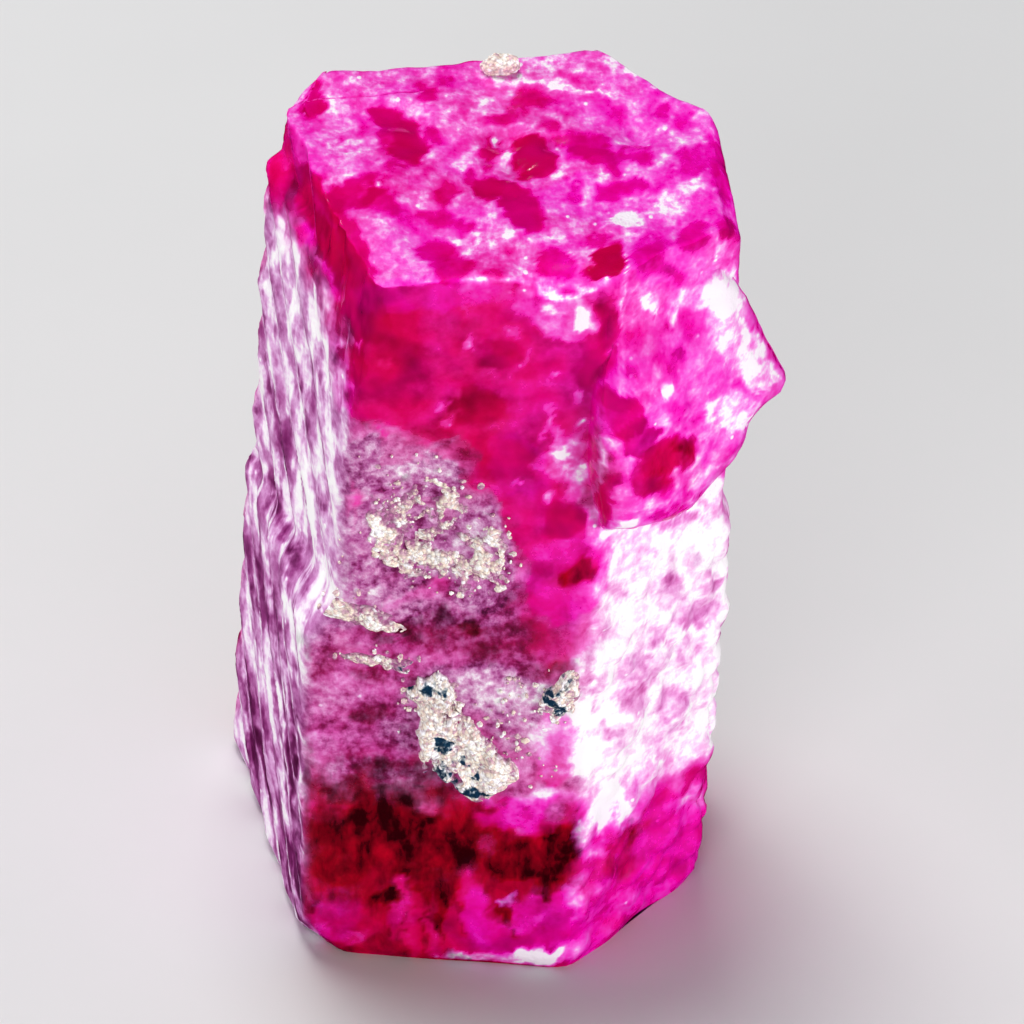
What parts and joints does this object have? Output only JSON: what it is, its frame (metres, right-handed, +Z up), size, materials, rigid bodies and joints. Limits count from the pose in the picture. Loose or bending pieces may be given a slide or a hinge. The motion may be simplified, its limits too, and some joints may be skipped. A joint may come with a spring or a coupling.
{
  "type": "ruby crystal",
  "caption": "Stubby raspberry-red prismatic mineral crystal standing on a flat end, with a smaller crystal grown out of its right flank and scraps of pale host rock on its front.",
  "frame": {"origin": "on the flat foot, under the middle of the box around the whole piece", "axes": "+Z up along the prism, from the flat foot to the flat head; the broad front face looks along -Y; the side crystal is on the +X side"},
  "size_m": [0.016, 0.0142, 0.0255],
  "materials": {
    "ruby": "satin",
    "host_rock": "matte"
  },
  "bodies": {
    "root": {"crystal": "ruby", "matrix_upper": "host_rock", "matrix_ledge": "host_rock", "matrix_rim": "host_rock", "matrix_lower": "host_rock", "matrix_corner": "host_rock", "matrix_crumb": "host_rock"}
  },
  "joints": []
}
